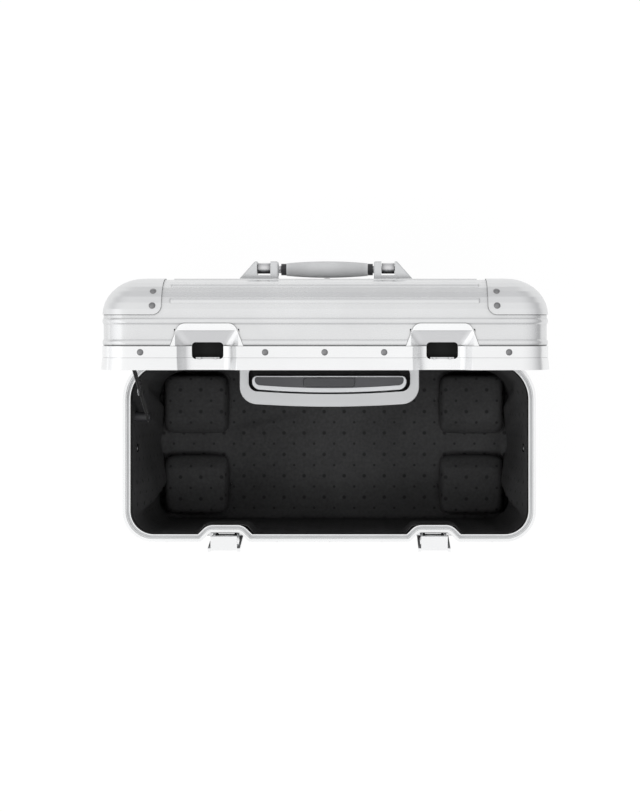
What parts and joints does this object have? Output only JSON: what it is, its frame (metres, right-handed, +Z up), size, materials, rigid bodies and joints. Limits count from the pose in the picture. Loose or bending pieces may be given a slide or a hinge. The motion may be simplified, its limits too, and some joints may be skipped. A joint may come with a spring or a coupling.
{
  "type": "pilot case",
  "caption": "Ribbed aluminium pilot case on swivel casters: hinged lid held by a strap, two draw latches, folding carry handle and pull-out trolley handle inside the rear.",
  "frame": {"origin": "on the ground plane, under the middle of the rim frame", "axes": "+X to the user's right when facing the latches, -Y towards the latches, +Z up"},
  "size_m": [0.4726, 0.3236, 0.5209],
  "materials": {
    "ribbed_aluminium": "ribbed sheet, clear anodised, fine satin grain",
    "frame_aluminium": "extruded, polished and anodised",
    "guard_aluminium": "drawn corner plates, satin",
    "rivet_metal": "domed rivets, worn bright",
    "latch_metal": "satin chrome",
    "hinge_steel": "brushed",
    "lining_fabric": "woven black lining with a dotted pattern",
    "strap_webbing": "black webbing",
    "bezel_plastic": "light grey, satin",
    "grip_plastic": "silver painted",
    "pad_rubber": "dark grey soft touch",
    "button_plastic": "dark grey, fine grain",
    "tube_aluminium": "drawn tube, anodised",
    "handle_grey": "grey soft plastic",
    "bracket_metal": "silver paint on die casting",
    "black_plastic": "black, fine grain",
    "black_rubber": "black rubber",
    "seal_rubber": "grey rubber",
    "wheel_rubber": "grey black wheel tread",
    "alcove_plastic": "grey liner, fine grain"
  },
  "bodies": {
    "case_body": {"body_shell": "ribbed_aluminium", "body_frame": "frame_aluminium", "rim_seal": "seal_rubber", "body_rivets": "rivet_metal", "body_corner_guards": "guard_aluminium", "latch_pans": "latch_metal", "latch_pivot_pins": "hinge_steel", "hinge_body_leaves": "hinge_steel", "hinge_pins": "hinge_steel", "telescope_bezel": "bezel_plastic", "telescope_outer_tubes": "tube_aluminium", "telescope_feet": "black_plastic", "body_lining": "lining_fabric", "wheel_humps": "lining_fabric", "lining_covers": "lining_fabric", "wall_studs": "rivet_metal", "strap_lower": "strap_webbing", "strap_upper": "strap_webbing", "strap_slider": "hinge_steel", "strap_body_anchor": "black_plastic", "wheel_housings": "black_plastic", "swivel_bearings": "hinge_steel"},
    "lid": {"lid_shell": "ribbed_aluminium", "lid_frame": "frame_aluminium", "lid_rivets": "rivet_metal", "lid_corner_guards": "guard_aluminium", "latch_keepers": "latch_metal", "catch_bars": "hinge_steel", "alcove_liner": "alcove_plastic", "lid_lining": "lining_fabric", "hinge_lid_leaves": "hinge_steel", "handle_brackets": "bracket_metal", "handle_pins": "hinge_steel", "handle_bumper": "black_rubber", "strap_lid_anchor": "black_plastic"},
    "carry_handle": {"handle_bail": "hinge_steel", "handle_grip": "handle_grey", "handle_collars": "black_plastic"},
    "telescope_one": {"telescope_stage_one": "tube_aluminium"},
    "telescope_two": {"telescope_stage_two": "tube_aluminium"},
    "telescope_top": {"telescope_stage_three": "tube_aluminium", "telescope_grip": "grip_plastic", "telescope_pad": "pad_rubber"},
    "release_button": {"telescope_button": "button_plastic"},
    "lever_left": {"latch_lever_left": "latch_metal"},
    "claw_left": {"latch_claw_left": "latch_metal"},
    "lever_right": {"latch_lever_right": "latch_metal"},
    "claw_right": {"latch_claw_right": "latch_metal"},
    "caster_left_front": {"caster_fork_left_front": "black_plastic", "caster_axle_left_front": "hinge_steel"},
    "wheels_left_front": {"caster_wheels_left_front": "wheel_rubber"},
    "caster_left_rear": {"caster_fork_left_rear": "black_plastic", "caster_axle_left_rear": "hinge_steel"},
    "wheels_left_rear": {"caster_wheels_left_rear": "wheel_rubber"},
    "caster_right_front": {"caster_fork_right_front": "black_plastic", "caster_axle_right_front": "hinge_steel"},
    "wheels_right_front": {"caster_wheels_right_front": "wheel_rubber"},
    "caster_right_rear": {"caster_fork_right_rear": "black_plastic", "caster_axle_right_rear": "hinge_steel"},
    "wheels_right_rear": {"caster_wheels_right_rear": "wheel_rubber"}
  },
  "joints": [
    {"name": "lid_hinge", "type": "hinge", "parent": "case_body", "child": "lid", "pos_m": [0, 0.104, 0.3162], "axis": [-1, 0, 0], "range_deg": [-87, 0], "deforming": ["strap_upper"]},
    {"name": "carry_handle_swing", "type": "hinge", "parent": "lid", "child": "carry_handle", "pos_m": [0, 0.19355, 0.45708], "axis": [1, 0, 0], "range_deg": [0, 95]},
    {"name": "telescope_slide_one", "type": "slide", "parent": "case_body", "child": "telescope_one", "axis": [0, 0, 1], "range_m": [0, 0.215]},
    {"name": "telescope_slide_two", "type": "slide", "parent": "telescope_one", "child": "telescope_two", "axis": [0, 0, 1], "range_m": [0, 0.215]},
    {"name": "telescope_slide_three", "type": "slide", "parent": "telescope_two", "child": "telescope_top", "axis": [0, 0, 1], "range_m": [0, 0.215]},
    {"name": "release_button_press", "type": "slide", "parent": "telescope_top", "child": "release_button", "axis": [0, 0, -1], "range_m": [0, 0.0026], "stiffness_N_per_m": 400, "springref_m": -0.002},
    {"name": "latch_lever_left", "type": "hinge", "parent": "case_body", "child": "lever_left", "pos_m": [-0.119, -0.0998, 0.287], "axis": [-1, 0, 0], "range_deg": [-20, 70]},
    {"name": "latch_claw_left", "type": "hinge", "parent": "lever_left", "child": "claw_left", "pos_m": [-0.119, -0.10284, 0.27427], "axis": [-1, 0, 0], "range_deg": [-114, 34]},
    {"name": "latch_lever_right", "type": "hinge", "parent": "case_body", "child": "lever_right", "pos_m": [0.119, -0.0998, 0.287], "axis": [-1, 0, 0], "range_deg": [-20, 70]},
    {"name": "latch_claw_right", "type": "hinge", "parent": "lever_right", "child": "claw_right", "pos_m": [0.119, -0.10284, 0.27427], "axis": [-1, 0, 0], "range_deg": [-114, 34]},
    {"name": "swivel_left_front", "type": "hinge", "parent": "case_body", "child": "caster_left_front", "pos_m": [-0.175, -0.052, 0.06], "axis": [0, 0, 1], "continuous": true},
    {"name": "roll_left_front", "type": "hinge", "parent": "caster_left_front", "child": "wheels_left_front", "pos_m": [-0.175, -0.043, 0.022], "axis": [1, 0, 0], "continuous": true},
    {"name": "swivel_left_rear", "type": "hinge", "parent": "case_body", "child": "caster_left_rear", "pos_m": [-0.175, 0.052, 0.06], "axis": [0, 0, 1], "continuous": true},
    {"name": "roll_left_rear", "type": "hinge", "parent": "caster_left_rear", "child": "wheels_left_rear", "pos_m": [-0.175, 0.061, 0.022], "axis": [1, 0, 0], "continuous": true},
    {"name": "swivel_right_front", "type": "hinge", "parent": "case_body", "child": "caster_right_front", "pos_m": [0.175, -0.052, 0.06], "axis": [0, 0, 1], "continuous": true},
    {"name": "roll_right_front", "type": "hinge", "parent": "caster_right_front", "child": "wheels_right_front", "pos_m": [0.175, -0.043, 0.022], "axis": [1, 0, 0], "continuous": true},
    {"name": "swivel_right_rear", "type": "hinge", "parent": "case_body", "child": "caster_right_rear", "pos_m": [0.175, 0.052, 0.06], "axis": [0, 0, 1], "continuous": true},
    {"name": "roll_right_rear", "type": "hinge", "parent": "caster_right_rear", "child": "wheels_right_rear", "pos_m": [0.175, 0.061, 0.022], "axis": [1, 0, 0], "continuous": true}
  ],
  "couplings": [
    {"joint": "latch_claw_left", "follows": "latch_lever_left", "ratio": -1.6},
    {"joint": "latch_claw_right", "follows": "latch_lever_right", "ratio": -1.6}
  ]
}
